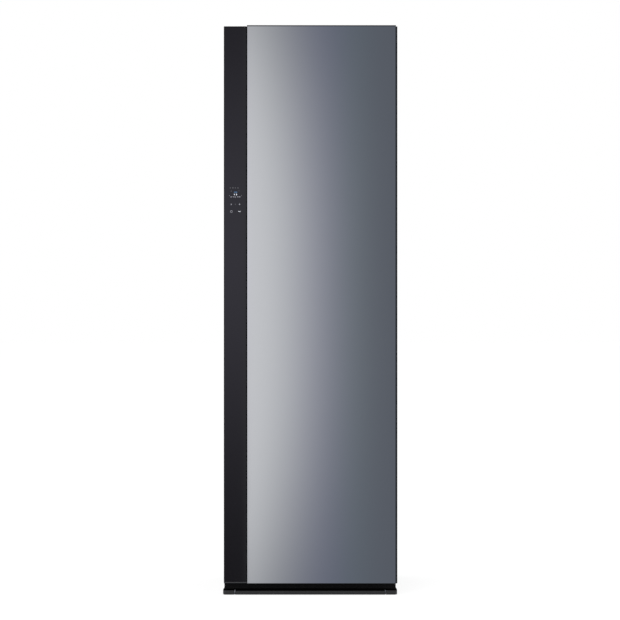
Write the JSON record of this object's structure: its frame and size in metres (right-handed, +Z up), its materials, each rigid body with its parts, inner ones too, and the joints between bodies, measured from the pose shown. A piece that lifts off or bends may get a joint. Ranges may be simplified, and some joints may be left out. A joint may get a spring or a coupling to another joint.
{
  "type": "clothes care steam cabinet",
  "caption": "Tall free-standing steam cabinet for clothes: full-height mirror door with a black control strip, hanger rail, trouser press and water tanks.",
  "frame": {"origin": "on the floor, in the middle of the width and of the depth over the wall spacers", "axes": "+Z up, +X to the right seen from in front, the door faces -Y"},
  "size_m": [0.6, 0.596, 1.96],
  "materials": {
    "mirror": "tinted mirror",
    "black_glass": "black back-printed glass",
    "dark_trim": "dark anodised, satin",
    "door_paint": "dark coated sheet, satin",
    "black_plastic": "fine-grained moulding",
    "circuit_board": "solder mask",
    "cabinet_paint": "powder coat",
    "zinc_steel": "zinc-plated sheet",
    "liner_plastic": "light grey vacuum-formed plastic",
    "grey_plastic": "fine-grained moulding",
    "tank_plastic": "translucent smoke plastic",
    "seal_rubber": "soft rubber",
    "pad_fabric": "woven cover",
    "bright_steel": "polished",
    "foam": "expanded foam",
    "lamp_lens": "frosted",
    "bronze": "sintered bronze",
    "copper": "copper tube",
    "fins": "plain fins",
    "machine_black": "black enamel",
    "machine_plastic": "moulded nylon",
    "boiler_metal": "cast, satin"
  },
  "bodies": {
    "cabinet": {"side_panels": "cabinet_paint", "top_cover": "cabinet_paint", "rear_cover": "zinc_steel", "panel_screws": "zinc_steel", "rear_spacers": "black_plastic", "power_inlet": "black_plastic", "base_frame": "zinc_steel", "rear_feet": "seal_rubber", "front_base_cover": "black_plastic", "base_caps": "black_plastic", "front_frame": "cabinet_paint", "hinge_brackets": "zinc_steel", "hinge_cover": "black_plastic", "tub": "liner_plastic", "air_outlet_grille": "grey_plastic", "interior_lamp": "lamp_lens", "cabinet_insulation": "foam", "hanger_guides": "bright_steel", "drive_frame": "zinc_steel", "drive_motor": "machine_black", "drive_belt": "seal_rubber", "control_board": "machine_plastic", "module_housing": "liner_plastic", "compressor": "machine_black", "compressor_mounts": "seal_rubber", "heat_exchangers": "fins", "blower_housing": "black_plastic", "blower_motor": "machine_black", "steam_generator": "boiler_metal", "pumps": "machine_plastic", "water_hoses": "seal_rubber", "refrigerant_pipes": "copper"},
    "door": {"mirror_glass": "mirror", "mirror_top_trim": "dark_trim", "control_glass": "black_glass", "display_board": "circuit_board", "door_casing": "door_paint", "door_grip": "black_plastic", "door_hinge_bushes": "bronze", "door_insulation": "foam", "door_liner": "liner_plastic", "door_gasket": "seal_rubber", "press_pad": "pad_fabric", "press_brackets": "grey_plastic", "trouser_holder": "grey_plastic"},
    "trouser_press": {"press_plate": "grey_plastic"},
    "press_latch": {"press_latch": "grey_plastic"},
    "moving_hanger": {"bar_carrier": "grey_plastic", "hanger_bar": "bright_steel"},
    "crank_wheel": {"crank_wheel": "machine_plastic"},
    "motor_pulley": {"motor_pulley": "machine_plastic"},
    "blower_wheel": {"blower_wheel": "machine_plastic"},
    "water_tank": {"water_tank": "tank_plastic"},
    "water_tank_cap": {"water_tank_cap": "grey_plastic"},
    "drain_tank": {"drain_tank": "tank_plastic"},
    "drain_tank_cap": {"drain_tank_cap": "grey_plastic"},
    "lint_filter": {"lint_filter": "grey_plastic"},
    "shelf": {"shelf": "grey_plastic"},
    "front_foot_left": {"front_foot_left": "bright_steel"},
    "front_foot_right": {"front_foot_right": "bright_steel"}
  },
  "joints": [
    {"name": "door_swing", "type": "hinge", "parent": "cabinet", "child": "door", "pos_m": [0.282, -0.262, 1], "axis": [0, 0, 1], "range_deg": [0, 115]},
    {"name": "press_swing", "type": "hinge", "parent": "door", "child": "trouser_press", "pos_m": [0.18, -0.242, 1.13], "axis": [0, 0, -1], "range_deg": [0, 85]},
    {"name": "press_latch_turn", "type": "hinge", "parent": "trouser_press", "child": "press_latch", "pos_m": [-0.14, -0.242, 1.13], "axis": [0, -1, 0], "range_deg": [0, 90]},
    {"name": "hanger_shuttle", "type": "slide", "parent": "cabinet", "child": "moving_hanger", "axis": [1, 0, 0], "range_m": [-0.02, 0.02]},
    {"name": "crank_spin", "type": "hinge", "parent": "cabinet", "child": "crank_wheel", "pos_m": [0, -0.00035, 1.86], "axis": [0, 0, 1], "continuous": true},
    {"name": "motor_spin", "type": "hinge", "parent": "cabinet", "child": "motor_pulley", "pos_m": [0.13, -0.00035, 1.86], "axis": [0, 0, 1], "continuous": true},
    {"name": "blower_spin", "type": "hinge", "parent": "cabinet", "child": "blower_wheel", "pos_m": [0, 0.09, 0.19], "axis": [0, 1, 0], "continuous": true},
    {"name": "water_tank_pull", "type": "slide", "parent": "cabinet", "child": "water_tank", "axis": [0, -1, 0], "range_m": [0, 0.05]},
    {"name": "water_tank_cap_turn", "type": "hinge", "parent": "water_tank", "child": "water_tank_cap", "pos_m": [0.155, -0.09535, 0.36], "axis": [0, 0, 1], "range_deg": [0, 90]},
    {"name": "drain_tank_pull", "type": "slide", "parent": "cabinet", "child": "drain_tank", "axis": [0, -1, 0], "range_m": [0, 0.05]},
    {"name": "drain_tank_cap_turn", "type": "hinge", "parent": "drain_tank", "child": "drain_tank_cap", "pos_m": [-0.155, -0.09535, 0.36], "axis": [0, 0, 1], "range_deg": [0, 90]},
    {"name": "lint_filter_pull", "type": "slide", "parent": "cabinet", "child": "lint_filter", "axis": [0, -1, 0], "range_m": [0, 0.05]},
    {"name": "shelf_lift", "type": "slide", "parent": "cabinet", "child": "shelf", "axis": [0, 0, 1], "range_m": [0, 0.04]},
    {"name": "front_foot_left_turn", "type": "hinge", "parent": "cabinet", "child": "front_foot_left", "pos_m": [-0.262, -0.2567, 0.01], "axis": [0, 0, 1], "continuous": true},
    {"name": "front_foot_right_turn", "type": "hinge", "parent": "cabinet", "child": "front_foot_right", "pos_m": [0.262, -0.2567, 0.01], "axis": [0, 0, 1], "continuous": true}
  ],
  "couplings": [
    {"joint": "motor_spin", "follows": "crank_spin", "ratio": 3.3333}
  ]
}
